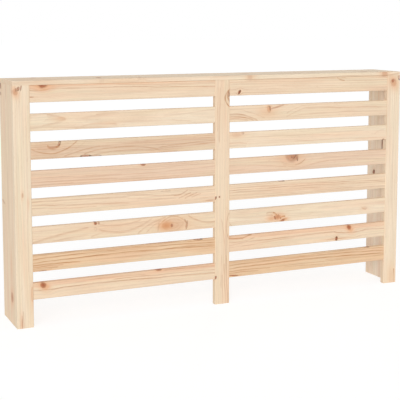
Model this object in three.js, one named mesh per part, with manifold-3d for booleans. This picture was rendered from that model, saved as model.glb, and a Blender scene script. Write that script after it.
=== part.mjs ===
// Slatted pine radiator cover: a top board on three posts and two side panels, with a rail and a
// ladder of slats tenoned between the posts, open at the back and at the bottom.
// Millimetres. +Z is up, +X runs along the width, the front faces -Y and the wall is on +Y.
// The origin is on the floor, under the middle of the cover.

import * as THREE from 'three';
import { mergeVertices } from 'three/addons/utils/BufferGeometryUtils.js';
import Module from 'manifold-3d';

const wasm = await Module();
wasm.setup();

// ---------------------------------------------------------------- driving dimensions

const WIDTH = 1530;              // over the two end posts
const DEPTH = 190;               // from the front of the posts to the wall
const HEIGHT = 840;              // from the floor to the top of the board

const TOP_THICKNESS = 15;
const TOP_ROUND = 2.5;           // rounding of the top board's edges
const TOP_CORNER = 4;            // rounding of its four corners, seen from above

const POST_WIDTH = 58;
const POST_THICKNESS = 22;

const RAIL_HEIGHT = 58;
const SLAT_HEIGHT = 58;
const SLAT_GAP = 38;             // open height between two slats
const SLAT_THICKNESS = 18;       // of the slats and of the rails
const SLAT_SETBACK = 2;          // slat fronts lie this far behind the post fronts
const LEG_CLEARANCE = 95;        // least open height under the bottom slats

const SIDE_THICKNESS = 18;
const NARROW_STAVE = 67;         // each side is glued up from a narrow stave and a wide one

const TENON_LENGTH = 15;
const TENON_THICKNESS = 8;
const TENON_SHOULDER = 8;        // wood above and below a tenon

const EDGE_ROUND = 2.5;          // eased long edges of posts, slats, rails and sides

const CLEAT_SIZE = 20;           // square section of the inner cleats
const CLEAT_FOOT = 40;           // the corner cleats stop this far above the floor
const CLEAT_END_GAP = 20;        // the rail cleats stop this far short of the posts
const CLEAT_REAR_GAP = 10;       // the side cleats stop this far short of the rear edge

const SCREW_HEAD_DIAMETER = 7.6;
const SCREW_SHANK_DIAMETER = 4;
const SCREW_HEAD_HEIGHT = 2.6;
const SCREW_HEAD_RIM = 0.5;
const SCREW_POINT = 5;
const SCREW_TIP_COVER = 5;       // wood left beyond a screw's tip in the thinnest board
const SCREW_STAGGER = 28;        // between a screw and the one that crosses it
const CORNER_SCREW_END = 110;    // from the ends of a corner cleat to its screws
const RAIL_SCREW_END = 60;       // from the ends of a rail cleat to its screws
const SIDE_SCREW_END = 25;       // from the ends of a side cleat to its screws
const RECESS_SPAN = 4.2;         // cross recess in a screw head
const RECESS_WIDTH = 0.9;
const RECESS_DEPTH = 1.8;

const CLEARANCE = 0.3;           // round tenons and screws

const ROUND_STEPS = 2;           // half the number of facets on a rounded corner
const SCREW_SIDES = 8;

const PINE = '#ecd4b8';
const PINE_TOP = '#e6ccb0';
const PINE_ROUGHNESS = 0.62;
const ZINC = '#c9ccd0';
const ZINC_ROUGHNESS = 0.35;

// ---------------------------------------------------------------- values that follow from them

const FRONT = -DEPTH / 2;
const REAR = DEPTH / 2;
const LEFT_END = -WIDTH / 2;

const FRAME_HEIGHT = HEIGHT - TOP_THICKNESS;
const POST_REAR = FRONT + POST_THICKNESS;
const SLAT_FRONT = FRONT + SLAT_SETBACK;
const SLAT_MIDDLE = SLAT_FRONT + SLAT_THICKNESS / 2;
const SLAT_REAR = SLAT_FRONT + SLAT_THICKNESS;

const BAY_WIDTH = (WIDTH - 3 * POST_WIDTH) / 2;
const BAY_MIDDLE = (POST_WIDTH + BAY_WIDTH) / 2;

const SLAT_PITCH = SLAT_HEIGHT + SLAT_GAP;
const RAIL_BOTTOM = FRAME_HEIGHT - RAIL_HEIGHT;
const SLAT_ROWS = Math.floor((RAIL_BOTTOM - LEG_CLEARANCE) / SLAT_PITCH);

const SIDE_DEPTH = REAR - POST_REAR;
const WIDE_STAVE = SIDE_DEPTH - NARROW_STAVE;

const THINNEST_BOARD = Math.min(TOP_THICKNESS, SLAT_THICKNESS, SIDE_THICKNESS, POST_THICKNESS);
const SCREW_LENGTH = CLEAT_SIZE + THINNEST_BOARD - SCREW_TIP_COVER;

// Each side of the cover: the sign of its X, and its narrow stave in front or at the rear.
const SIDES = [
  { name: 'left', sign: -1, narrowFirst: true },
  { name: 'right', sign: 1, narrowFirst: false },
];

// ---------------------------------------------------------------- solids

// A three.js geometry as a closed solid: vertices merged, and triangles without area left out.
function solidOf(geometry) {
  const bare = geometry.clone();
  bare.deleteAttribute('normal');
  bare.deleteAttribute('uv');
  const merged = mergeVertices(bare, 1e-4);
  const index = merged.index.array;
  const corners = [];
  for (let i = 0; i < index.length; i += 3) {
    const [a, b, c] = [index[i], index[i + 1], index[i + 2]];
    if (a !== b && b !== c && c !== a) corners.push(a, b, c);
  }
  const vertProperties = new Float32Array(merged.attributes.position.array);
  const triVerts = new Uint32Array(corners);
  return new wasm.Manifold(new wasm.Mesh({ numProp: 3, vertProperties, triVerts }));
}

function geometryOf(solid) {
  const mesh = solid.getMesh();
  const geometry = new THREE.BufferGeometry();
  geometry.setAttribute('position', new THREE.BufferAttribute(mesh.vertProperties, 3));
  geometry.setIndex(new THREE.BufferAttribute(mesh.triVerts, 1));
  geometry.computeVertexNormals();
  return geometry;
}

// A rectangle centred on the origin. rounds gives the radius of its corners, from the lower left
// one, counterclockwise; a corner of 0 stays square.
function rectangle(width, height, rounds) {
  const shape = new THREE.Shape();
  const corners = [
    { x: -width / 2, y: -height / 2, inX: 1, inY: 1, from: Math.PI },
    { x: width / 2, y: -height / 2, inX: -1, inY: 1, from: 1.5 * Math.PI },
    { x: width / 2, y: height / 2, inX: -1, inY: -1, from: 0 },
    { x: -width / 2, y: height / 2, inX: 1, inY: -1, from: 0.5 * Math.PI },
  ];
  corners.forEach((corner, i) => {
    const r = rounds[i];
    if (r > 0) {
      const [cx, cy] = [corner.x + corner.inX * r, corner.y + corner.inY * r];
      shape.absarc(cx, cy, r, corner.from, corner.from + Math.PI / 2, false);
    } else if (i === 0) {
      shape.moveTo(corner.x, corner.y);
    } else {
      shape.lineTo(corner.x, corner.y);
    }
  });
  shape.closePath();
  return shape;
}

// Where the sketch's X, its Y and the direction of extrusion point for a bar along each axis.
const BAR_AXES = {
  x: [new THREE.Vector3(0, 1, 0), new THREE.Vector3(0, 0, 1), new THREE.Vector3(1, 0, 0)],
  y: [new THREE.Vector3(0, 0, 1), new THREE.Vector3(1, 0, 0), new THREE.Vector3(0, 1, 0)],
  z: [new THREE.Vector3(1, 0, 0), new THREE.Vector3(0, 1, 0), new THREE.Vector3(0, 0, 1)],
};

// A straight bar of the given section, centred on the origin, along the named axis.
function bar(shape, length, axis) {
  const options = { depth: length, bevelEnabled: false, curveSegments: ROUND_STEPS, steps: 1 };
  const geometry = new THREE.ExtrudeGeometry(shape, options);
  geometry.translate(0, 0, -length / 2);
  return geometry.applyMatrix4(new THREE.Matrix4().makeBasis(...BAR_AXES[axis]));
}

// A box centred at a point.
function block(size, centre) {
  return new THREE.BoxGeometry(...size).translate(...centre);
}

// ---------------------------------------------------------------- boards

const boards = [];

// A board waits in this list until the screws have put their holes in it.
function addBoard(name, geometry, position, color = PINE) {
  const board = { name, blank: solidOf(geometry), position, color, holes: [] };
  boards.push(board);
  return board;
}

function boardNamed(name) {
  return boards.find((board) => board.name === name);
}

function addTopBoard() {
  const plan = rectangle(WIDTH, DEPTH, [TOP_CORNER, TOP_CORNER, TOP_CORNER, TOP_CORNER]);
  const geometry = new THREE.ExtrudeGeometry(plan, {
    depth: TOP_THICKNESS - 2 * TOP_ROUND,
    bevelEnabled: true,
    bevelThickness: TOP_ROUND,
    bevelSize: TOP_ROUND,
    bevelOffset: -TOP_ROUND,
    bevelSegments: 2 * ROUND_STEPS,
    curveSegments: ROUND_STEPS,
    steps: 1,
  });
  geometry.translate(0, 0, TOP_ROUND - TOP_THICKNESS / 2);
  addBoard('top_board', geometry, [0, 0, FRAME_HEIGHT + TOP_THICKNESS / 2], PINE_TOP);
}

// Centre heights of the rail and of the slats under it, with the height of each board.
function ladderRows() {
  const rows = [{ middle: FRAME_HEIGHT - RAIL_HEIGHT / 2, height: RAIL_HEIGHT }];
  for (let row = 1; row <= SLAT_ROWS; row += 1) {
    rows.push({ middle: RAIL_BOTTOM - row * SLAT_PITCH + SLAT_HEIGHT / 2, height: SLAT_HEIGHT });
  }
  return rows;
}

// A post with the mortises of one bay or of both. openings are the signs of the bays it serves.
function addPost(name, x, openings, rounds) {
  const section = rectangle(POST_WIDTH, POST_THICKNESS, rounds);
  const middle = [x, FRONT + POST_THICKNESS / 2, FRAME_HEIGHT / 2];
  const board = addBoard(name, bar(section, FRAME_HEIGHT, 'z'), middle);
  for (const side of openings) {
    for (const row of ladderRows()) {
      const deep = TENON_LENGTH + CLEARANCE;
      const thick = TENON_THICKNESS + 2 * CLEARANCE;
      const high = row.height - 2 * TENON_SHOULDER + 2 * CLEARANCE;
      const face = side * (POST_WIDTH / 2);
      // The mortise starts outside the post, so that its mouth is cut clean.
      const mouth = block([2 * deep, thick, high], [face, SLAT_MIDDLE - middle[1], row.middle - middle[2]]);
      board.blank = board.blank.subtract(solidOf(mouth));
    }
  }
}

// A rail or a slat: eased along its four long edges, with a stub tenon on each end.
function addCrossBoard(name, bayX, row) {
  const rounds = [EDGE_ROUND, EDGE_ROUND, EDGE_ROUND, EDGE_ROUND];
  const section = rectangle(SLAT_THICKNESS, row.height, rounds);
  const board = addBoard(name, bar(section, BAY_WIDTH, 'x'), [bayX, SLAT_MIDDLE, row.middle]);
  const tenon = [BAY_WIDTH + 2 * TENON_LENGTH, TENON_THICKNESS, row.height - 2 * TENON_SHOULDER];
  board.blank = board.blank.add(solidOf(block(tenon, [0, 0, 0])));
}

// The two staves of a side panel, glued edge to edge behind the end post.
function addSidePanel(side) {
  const widths = side.narrowFirst ? [NARROW_STAVE, WIDE_STAVE] : [WIDE_STAVE, NARROW_STAVE];
  const x = side.sign * (WIDTH / 2 - SIDE_THICKNESS / 2);
  const front = rectangle(SIDE_THICKNESS, widths[0], [0, 0, 0, 0]);
  const rear = rectangle(SIDE_THICKNESS, widths[1], [0, 0, EDGE_ROUND, EDGE_ROUND]);
  const height = FRAME_HEIGHT / 2;
  const frontY = POST_REAR + widths[0] / 2;
  const rearY = REAR - widths[1] / 2;
  addBoard(`side_${side.name}_front_stave`, bar(front, FRAME_HEIGHT, 'z'), [x, frontY, height]);
  addBoard(`side_${side.name}_rear_stave`, bar(rear, FRAME_HEIGHT, 'z'), [x, rearY, height]);
}

// ---------------------------------------------------------------- screws

// Half section of a countersunk wood screw, head at 0 and tip up, grown by a clearance.
function screwSection(grow) {
  const head = SCREW_HEAD_DIAMETER / 2 + grow;
  const shank = SCREW_SHANK_DIAMETER / 2 + grow;
  const rim = SCREW_HEAD_RIM + grow;
  const tip = SCREW_LENGTH + 2 * grow;
  return [
    new THREE.Vector2(0, 0),
    new THREE.Vector2(head, 0),
    new THREE.Vector2(head, rim),
    new THREE.Vector2(shank, SCREW_HEAD_HEIGHT + grow),
    new THREE.Vector2(shank, tip - SCREW_POINT),
    new THREE.Vector2(0, tip),
  ];
}

// A screw standing on its head, with its tip towards +Z.
function screwBlank(grow) {
  const geometry = new THREE.LatheGeometry(screwSection(grow), SCREW_SIDES);
  return geometry.rotateX(Math.PI / 2);
}

function screwSolid() {
  const slots = [
    [RECESS_SPAN, RECESS_WIDTH, 2 * RECESS_DEPTH],
    [RECESS_WIDTH, RECESS_SPAN, 2 * RECESS_DEPTH],
  ];
  let solid = solidOf(screwBlank(0));
  for (const slot of slots) {
    solid = solid.subtract(solidOf(block(slot, [0, 0, 0])));
  }
  return solid;
}

const UP = new THREE.Vector3(0, 0, 1);
const screws = [];

// A screw whose head lies flush in the first board and whose tip is in the second.
function addScrew(name, head, direction, boardNames) {
  const turn = new THREE.Quaternion().setFromUnitVectors(UP, new THREE.Vector3(...direction));
  screws.push({ name, head, turn });
  const hole = screwBlank(CLEARANCE);
  // The hole's mouth starts just above the head, so that it opens on the board's face.
  hole.translate(0, 0, -CLEARANCE / 2);
  hole.applyQuaternion(turn).translate(...head);
  for (const boardName of boardNames) {
    const board = boardNamed(boardName);
    const [x, y, z] = board.position;
    board.holes.push(solidOf(hole.clone().translate(-x, -y, -z)));
  }
}

// ---------------------------------------------------------------- cleats and their screws

const SQUARE = [0, 0, 0, 0];

// Upright cleat in the corner between an end post and its side panel.
function addCornerCleat(side) {
  const name = `corner_cleat_${side.name}`;
  const length = FRAME_HEIGHT - CLEAT_FOOT;
  const inner = side.sign * (WIDTH / 2 - SIDE_THICKNESS - CLEAT_SIZE);
  const x = inner + side.sign * (CLEAT_SIZE / 2);
  const y = POST_REAR + CLEAT_SIZE / 2;
  const section = rectangle(CLEAT_SIZE, CLEAT_SIZE, SQUARE);
  addBoard(name, bar(section, length, 'z'), [x, y, CLEAT_FOOT + length / 2]);
  const heights = { lower: CLEAT_FOOT + CORNER_SCREW_END, upper: FRAME_HEIGHT - CORNER_SCREW_END };
  for (const [level, z] of Object.entries(heights)) {
    const post = `post_${side.name}`;
    const stave = `side_${side.name}_front_stave`;
    const intoPost = [x, POST_REAR + CLEAT_SIZE, z];
    const intoSide = [inner, y, z - SCREW_STAGGER];
    addScrew(`screw_post_${side.name}_${level}`, intoPost, [0, -1, 0], [name, post]);
    addScrew(`screw_side_${side.name}_${level}`, intoSide, [side.sign, 0, 0], [name, stave]);
  }
}

// Cleat along the top of a side panel, under the top board.
function addSideCleat(side) {
  const name = `side_cleat_${side.name}`;
  const front = POST_REAR + CLEAT_SIZE;
  const rear = REAR - CLEAT_REAR_GAP;
  const inner = side.sign * (WIDTH / 2 - SIDE_THICKNESS - CLEAT_SIZE);
  const x = inner + side.sign * (CLEAT_SIZE / 2);
  const z = FRAME_HEIGHT - CLEAT_SIZE / 2;
  const section = rectangle(CLEAT_SIZE, CLEAT_SIZE, SQUARE);
  addBoard(name, bar(section, rear - front, 'y'), [x, (front + rear) / 2, z]);
  const places = { front: front + SIDE_SCREW_END, rear: rear - SIDE_SCREW_END };
  for (const [stave, y] of Object.entries(places)) {
    const boardNames = [name, `side_${side.name}_${stave}_stave`];
    addScrew(`screw_cleat_${side.name}_${stave}`, [inner, y, z], [side.sign, 0, 0], boardNames);
  }
  const under = [x, (front + rear) / 2, FRAME_HEIGHT - CLEAT_SIZE];
  addScrew(`screw_top_${side.name}_end`, under, [0, 0, 1], [name, 'top_board']);
}

// Cleat behind a top rail, under the top board.
function addRailCleat(side) {
  const name = `rail_cleat_${side.name}`;
  const rail = `top_rail_${side.name}`;
  const length = BAY_WIDTH - 2 * CLEAT_END_GAP;
  const x = side.sign * BAY_MIDDLE;
  const y = SLAT_REAR + CLEAT_SIZE / 2;
  const z = FRAME_HEIGHT - CLEAT_SIZE / 2;
  const section = rectangle(CLEAT_SIZE, CLEAT_SIZE, SQUARE);
  addBoard(name, bar(section, length, 'x'), [x, y, z]);
  const ends = { outer: side.sign, inner: -side.sign };
  for (const [end, sign] of Object.entries(ends)) {
    const intoRail = [x + sign * (length / 2 - RAIL_SCREW_END), SLAT_REAR + CLEAT_SIZE, z];
    const intoTop = [intoRail[0] - sign * SCREW_STAGGER, y, FRAME_HEIGHT - CLEAT_SIZE];
    addScrew(`screw_rail_${side.name}_${end}`, intoRail, [0, -1, 0], [name, rail]);
    addScrew(`screw_top_${side.name}_${end}`, intoTop, [0, 0, 1], [name, 'top_board']);
  }
}

// ---------------------------------------------------------------- the cover

const cover = new THREE.Group();

function placeBoard(board) {
  let solid = board.blank;
  for (const hole of board.holes) solid = solid.subtract(hole);
  const finish = { color: board.color, roughness: PINE_ROUGHNESS, metalness: 0 };
  const mesh = new THREE.Mesh(geometryOf(solid), new THREE.MeshStandardMaterial(finish));
  mesh.name = board.name;
  mesh.position.set(...board.position);
  cover.add(mesh);
}

function placeScrew(screw, geometry) {
  const finish = { color: ZINC, roughness: ZINC_ROUGHNESS, metalness: 1 };
  const mesh = new THREE.Mesh(geometry, new THREE.MeshStandardMaterial(finish));
  mesh.name = screw.name;
  mesh.position.set(...screw.head);
  mesh.quaternion.copy(screw.turn);
  cover.add(mesh);
}

const postX = LEFT_END + POST_WIDTH / 2;
// An end post is square at the rear outer corner, where its side panel carries on.
addPost('post_left', postX, [1], [EDGE_ROUND, EDGE_ROUND, EDGE_ROUND, 0]);
addPost('post_centre', 0, [-1, 1], [EDGE_ROUND, EDGE_ROUND, EDGE_ROUND, EDGE_ROUND]);
addPost('post_right', -postX, [-1], [EDGE_ROUND, EDGE_ROUND, 0, EDGE_ROUND]);
addTopBoard();

for (const side of SIDES) {
  ladderRows().forEach((row, i) => {
    const name = i === 0 ? `top_rail_${side.name}` : `slat_${side.name}_${i}`;
    addCrossBoard(name, side.sign * BAY_MIDDLE, row);
  });
  addSidePanel(side);
  addCornerCleat(side);
  addSideCleat(side);
  addRailCleat(side);
}

const screwGeometry = geometryOf(screwSolid());
for (const board of boards) placeBoard(board);
for (const screw of screws) placeScrew(screw, screwGeometry);

export default cover;
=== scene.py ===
"""Looks of a slatted pine radiator cover: eased boards, solid pine with rings and knots, a studio.

Laid out as an add-on: property groups hold the sizes and colours, one operator makes each group
of like pieces, and a panel in the 3D view's sidebar lists them.
"""

import math
from collections import namedtuple

import bmesh
import bpy
from mathutils import Euler, Matrix, Vector


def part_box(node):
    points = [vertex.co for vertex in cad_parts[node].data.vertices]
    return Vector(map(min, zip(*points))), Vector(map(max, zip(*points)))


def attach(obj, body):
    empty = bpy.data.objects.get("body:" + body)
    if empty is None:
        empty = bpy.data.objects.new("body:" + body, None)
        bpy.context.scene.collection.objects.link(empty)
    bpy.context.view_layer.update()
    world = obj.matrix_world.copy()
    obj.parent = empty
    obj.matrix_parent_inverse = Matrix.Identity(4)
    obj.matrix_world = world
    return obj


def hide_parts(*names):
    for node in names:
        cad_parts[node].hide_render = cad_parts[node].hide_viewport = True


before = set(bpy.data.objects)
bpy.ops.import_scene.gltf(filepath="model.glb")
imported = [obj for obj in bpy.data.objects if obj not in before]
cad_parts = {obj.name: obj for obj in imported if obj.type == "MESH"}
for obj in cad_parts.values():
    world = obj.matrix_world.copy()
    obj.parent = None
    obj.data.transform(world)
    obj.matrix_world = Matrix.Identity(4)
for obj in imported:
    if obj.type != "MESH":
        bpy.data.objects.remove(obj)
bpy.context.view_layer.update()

bl_info = {
    "name": "Slatted radiator cover",
    "version": (1, 0, 0),
    "blender": (4, 5, 0),
    "location": "View3D > Sidebar > Radiator cover",
    "description": "Builds the boards, the fittings and the studio of a slatted pine radiator cover",
    "category": "Object",
}

BODY = "root"
MM = 0.001


def srgb(red, green, blue):
    """A colour written as 0 to 255 in sRGB, as the linear colour that shaders take."""
    def linear(value):
        part = value / 255
        if part <= 0.04045:
            return part / 12.92
        return ((part + 0.055) / 1.055) ** 2.4
    return (linear(red), linear(green), linear(blue))


# ---------------------------------------------------------------- properties


def number_property(label, description, default, **settings):
    return bpy.props.FloatProperty(name=label, description=description, default=default, **settings)


def colour_property(label, description, red, green, blue):
    return bpy.props.FloatVectorProperty(
        name=label, description=description, subtype="COLOR", size=3, min=0.0, max=1.0,
        default=srgb(red, green, blue))


def length_property(label, description, millimetres):
    return number_property(label, description, millimetres * MM, min=0.0, unit="LENGTH", precision=4)


def share_property(label, description, default):
    return number_property(label, description, default, min=0.0, max=1.0, subtype="FACTOR")


def angle_property(label, description, degrees):
    return number_property(label, description, math.radians(degrees), subtype="ANGLE")


def count_property(label, description, default, fewest, most):
    return bpy.props.IntProperty(
        name=label, description=description, default=default, min=fewest, max=most)


class PineFinish(bpy.types.PropertyGroup):
    """Colours and texture strengths of the bare pine, and one pale tone that paints light onto the shaded
    right side panel.
    """

    # Painted light: a paler, greyer sapwood that lightens the shaded inner face of the right side panel.
    pale: colour_property("Pale", "The shaded right side panel", 255, 242, 224)
    cream: colour_property("Cream", "Usual pale sapwood", 243, 224, 198)
    honey: colour_property("Honey", "Usual sapwood", 241, 218, 190)
    tan: colour_property("Tan", "Darker, pinkish boards", 235, 207, 181)
    drab: colour_property("Drab", "The greyest board", 229, 202, 174)
    amber: colour_property("Amber", "Darkest, orange boards", 235, 202, 165)
    heart: colour_property("Heartwood", "Pink and orange heartwood", 240, 202, 170)
    straw: colour_property("Straw", "Yellow-green drift in the sapwood", 236, 220, 189)
    late: colour_property("Latewood", "Dark line at the end of each ring", 190, 132, 88)
    resin: colour_property("Resin", "Orange stain round knots", 227, 168, 121)
    knot: colour_property("Knot", "Sound red-brown knots", 164, 80, 46)
    bark: colour_property("Bark rim", "Dark rim of knots and bark specks", 96, 64, 46)
    roughness: share_property("Roughness", "Roughness of planed and sanded pine", 0.62)
    relief: length_property("Relief", "Height of the raised latewood", 0.12)


class JoineryShape(bpy.types.PropertyGroup):
    """Sizes of the eased edges and of the joints that the frame's boxes don't give."""

    edge_round: length_property("Edge rounding", "Radius of the eased long edges", 2.5)
    top_round: length_property("Top board rounding", "Radius of the top board's edges", 2.5)
    top_corner: length_property("Top board corner", "Radius of its corners, seen from above", 4.0)
    seam: length_property("Seam chamfer", "Chamfer where boards meet", 0.4)
    tenon_thickness: length_property("Tenon thickness", "Thickness of the stub tenons", 8.0)
    tenon_shoulder: length_property("Tenon shoulder", "Wood above and below a tenon", 8.0)
    clearance: length_property("Clearance", "Room round a tenon in its mortise", 0.3)
    segments: count_property("Rounding segments", "Faces across a rounded edge", 5, 1, 12)
    screw_core: length_property("Screw core", "Radius of a screw under its thread", 1.45)
    screw_thread: length_property("Screw thread", "Radius of a screw's thread and neck", 2.0)
    thread_pitch: length_property("Thread pitch", "Distance between two turns of the thread", 1.6)
    recess_span: length_property("Recess span", "Width of the cross recess in a screw head", 4.2)
    recess_width: length_property("Recess slot", "Width of one slot of the recess", 0.9)
    recess_depth: length_property("Recess depth", "Depth of the recess", 1.8)
    screw_sides: count_property("Screw facets", "Faces round a screw", 24, 8, 64)


class StudioStage(bpy.types.PropertyGroup):
    """Camera, lamps and floor."""

    camera_place: bpy.props.FloatVectorProperty(
        name="Camera place", description="Where the camera stands", subtype="TRANSLATION", size=3,
        unit="LENGTH", default=(-1.545, -3.372, 1.043))
    camera_yaw: angle_property("Camera yaw", "Turn of the view to the right", 23.95)
    camera_pitch: angle_property("Camera pitch", "Turn of the view downwards", 6.62)
    camera_lens: number_property("Lens", "Focal length on a sensor 36 mm wide", 90.73, unit="CAMERA")
    camera_rise: number_property("Shift", "Vertical shift of the view, as a share of its width", -0.16)
    key_light: number_property("Key light", "What the lamp adds to a white board that faces it", 0.45)
    key_side: angle_property("Key side", "How far the lamp stands to the left", 31)
    key_height: angle_property("Key height", "How high the lamp stands", 15.5)
    key_softness: angle_property("Key softness", "How wide the lamp looks", 38)
    fill_light: number_property("Fill light", "What the lamp behind the cover adds to a white board", 0.2)
    fill_side: angle_property("Fill side", "How far that lamp stands to the right", 148)
    fill_height: angle_property("Fill height", "How high that lamp stands", 4)
    fill_softness: angle_property("Fill softness", "How wide that lamp looks", 8)
    ambient: number_property("Ambient", "Strength of the even light from all round", 0.62)
    floor: colour_property("Floor", "Pale studio floor", 246, 246, 246)
    floor_glow: share_property("Floor white", "Share of plain white in what the camera sees of it", 0.62)


# ---------------------------------------------------------------- shader graphs


class Wire:
    """What comes out of a socket. Sums, products and steps of it are new nodes in its tree."""

    def __init__(self, graph, socket):
        self.graph = graph
        self.socket = socket
        self.work = graph.math if socket.type == "VALUE" else graph.vector

    def __add__(self, other):
        return self.work("ADD", self, other)

    def __sub__(self, other):
        return self.work("SUBTRACT", self, other)

    def __rsub__(self, other):
        return self.work("SUBTRACT", other, self)

    def __mul__(self, other):
        return self.work("MULTIPLY", self, other)

    def __truediv__(self, other):
        return self.work("DIVIDE", self, other)

    def most(self, other):
        """The greater of two values."""
        return self.work("MAXIMUM", self, other)

    def scaled(self, factor):
        return self.graph.new("ShaderNodeVectorMath", {0: self, "Scale": factor}, operation="SCALE")

    def length(self):
        return self.graph.new("ShaderNodeVectorMath", {0: self}, "Value", operation="LENGTH")

    def parts(self):
        """The three parts of a vector."""
        split = self.graph.node("ShaderNodeSeparateXYZ", {0: self})
        return [Wire(self.graph, output) for output in split.outputs]

    def bell(self):
        """1 where the value is 0, and less the further it is from 0."""
        return self.graph.math("EXPONENT", self * self * -1.0)

    def ramp(self, low, high, start=0.0, end=1.0):
        """start where the value is low, end where it is high, with a smooth step between."""
        values = dict(enumerate((self, low, high, start, end)))
        return self.graph.new("ShaderNodeMapRange", values, interpolation_type="SMOOTHSTEP")

    def falling(self, low, high):
        """1 where the value is low, 0 where it is high."""
        return self.ramp(low, high, 1.0, 0.0)


class Graph:
    """Short calls that add nodes to a node tree and link them."""

    def __init__(self, tree):
        self.tree = tree

    def fill(self, node, inputs):
        """Links or sets a node's inputs, by their name or place."""
        for key, value in inputs.items():
            if isinstance(value, Wire):
                self.tree.links.new(value.socket, node.inputs[key])
            else:
                node.inputs[key].default_value = value

    def node(self, kind, inputs=None, **settings):
        made = self.tree.nodes.new(kind)
        for key, value in settings.items():
            setattr(made, key, value)
        self.fill(made, inputs or {})
        return made

    def outputs(self, node):
        return {output.name: Wire(self, output) for output in node.outputs}

    def new(self, kind, inputs=None, output=0, **settings):
        """One output of a new node."""
        return Wire(self, self.node(kind, inputs, **settings).outputs[output])

    def group(self, name, inputs):
        """All outputs of a shader group that is placed in this tree."""
        return self.outputs(self.node("ShaderNodeGroup", inputs, node_tree=bpy.data.node_groups[name]))

    def math(self, operation, *values, clamp=False):
        return self.new("ShaderNodeMath", dict(enumerate(values)), operation=operation, use_clamp=clamp)

    def vector(self, operation, *values):
        return self.new("ShaderNodeVectorMath", dict(enumerate(values)), operation=operation)

    def mapping(self, place, turn, shift):
        """Turns a place to other axes, then moves it."""
        values = {"Vector": place, "Rotation": turn.to_euler("XYZ"), "Location": shift}
        return self.new("ShaderNodeMapping", values, vector_type="POINT")

    def mix(self, factor, first, second):
        values = {"Factor": factor, 6: first, 7: second}
        return self.new("ShaderNodeMix", values, 2, data_type="RGBA", blend_type="MIX", clamp_factor=True)

    def noise(self, place, detail=2.0, roughness=0.5):
        values = {"Vector": place, "Scale": 1.0, "Detail": detail, "Roughness": roughness}
        return self.new("ShaderNodeTexNoise", values, noise_dimensions="3D", normalize=True)

    def grain_noise(self, place, along, across, detail=2.0):
        """Noise with so many spots to the metre along the grain and across it."""
        return self.noise(place * (along, across, across), detail)


SOCKETS = {"value": "NodeSocketFloat", "vector": "NodeSocketVector", "colour": "NodeSocketColor"}


def shader_group(name, takes, gives):
    """An empty node group with named sockets, as its graph, what it is given and its output node."""
    tree = bpy.data.node_groups.new(name, "ShaderNodeTree")
    for way, sockets in (("INPUT", takes), ("OUTPUT", gives)):
        for kind, labels in sockets.items():
            for label in labels.split(", "):
                tree.interface.new_socket(name=label, in_out=way, socket_type=SOCKETS[kind])
    g = Graph(tree)
    return g, g.outputs(g.node("NodeGroupInput")), g.node("NodeGroupOutput")


def knot_group():
    """One knot: how the grain parts round it, its sound wood, its dark rim and its resin stain."""
    g, given, result = shader_group("pine knot", {
        "vector": "Vector, Centre, Half Size, Grain",
        "value": "Lean, Tone, Rim Tone, Stain Tone, Ring Push, Push, Knot, Rim, Stain",
    }, {"vector": "Grain", "value": "Push, Knot, Rim, Stain"})
    offset = given["Vector"] - given["Centre"]
    turned = g.new(
        "ShaderNodeVectorRotate", {"Vector": offset, "Angle": given["Lean"]}, rotation_type="Z_AXIS")
    scaled = turned * (1.0, 1.0, 0.0) / given["Half Size"]
    # A ragged outline, with folds a few millimetres long.
    folds_per_metre = (120.0, 170.0, 60.0)
    raggedness = 0.7
    ragged = g.noise(offset * folds_per_metre, detail=3.0, roughness=0.6)
    reach = scaled.length() + (ragged - 0.5) * raggedness
    # Sound wood with the rings of the branch itself and a darker heart, and a broken rim round it.
    ring_turns = 17.0
    plain_share, ring_share, heart_share = 0.74, 0.08, 0.26
    branch_rings = g.math("SINE", reach * ring_turns) * ring_share
    heart = reach.falling(0.0, 0.5) * heart_share
    inside = reach.falling(0.7, 1.15)
    sound = g.math("MULTIPLY", inside, branch_rings + heart + plain_share, clamp=True)
    rim = reach.ramp(0.55, 0.95) * reach.falling(0.98, 1.3) * ragged.ramp(0.32, 0.6)
    # The stain and the swelling of the rings reach two to three times as far as the knot.
    stain_slope = (0.5, 0.66, 0.0)
    swell_slope = (0.3, 0.5, 0.0)
    stain = (scaled * stain_slope).length().bell()
    swell = (scaled * swell_slope).length().bell()
    # The grain parts above and below the knot.
    parting = (0.0, -0.72, 0.0)
    parted = (offset * parting).scaled(swell * given["Tone"])
    g.fill(result, {
        "Grain": given["Grain"] + parted,
        "Push": given["Push"] + swell * given["Ring Push"],
        "Knot": given["Knot"].most(sound * given["Tone"]),
        "Rim": given["Rim"].most(rim * given["Rim Tone"]),
        "Stain": given["Stain"].most(stain * given["Stain Tone"]),
    })


def edges_group():
    """Masks of a board's four long arrises and of its two ends, from its half sizes."""
    g, given, result = shader_group("board edges", {"vector": "Vector, Half Size"}, {"value": "Arris, End"})
    inset = given["Half Size"] - g.vector("ABSOLUTE", given["Vector"])
    from_end, from_edge, from_face = inset.parts()
    g.fill(result, {
        "Arris": from_edge.most(from_face).falling(low=0.4 * MM, high=3.2 * MM),
        "End": from_end.falling(low=0.1 * MM, high=0.5 * MM),
    })


def radius_group():
    """How far a place in the board was from the pith of the log, with the log's own unevenness."""
    g, given, result = shader_group(
        "pine radius", {"vector": "Vector", "value": "Push, Wave"}, {"value": "Radius"})
    place = given["Vector"]
    across = (place * (0.0, 1.0, 1.0)).length()
    bend_share, ripple_share = 2.2, 0.5
    bend = (g.grain_noise(place, along=1.9, across=12.0) - 0.5) * bend_share
    ripple = (g.grain_noise(place, along=11.0, across=60.0, detail=3.0) - 0.5) * ripple_share
    g.fill(result, {"Radius": across + (bend + ripple) * given["Wave"] + given["Push"]})


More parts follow.
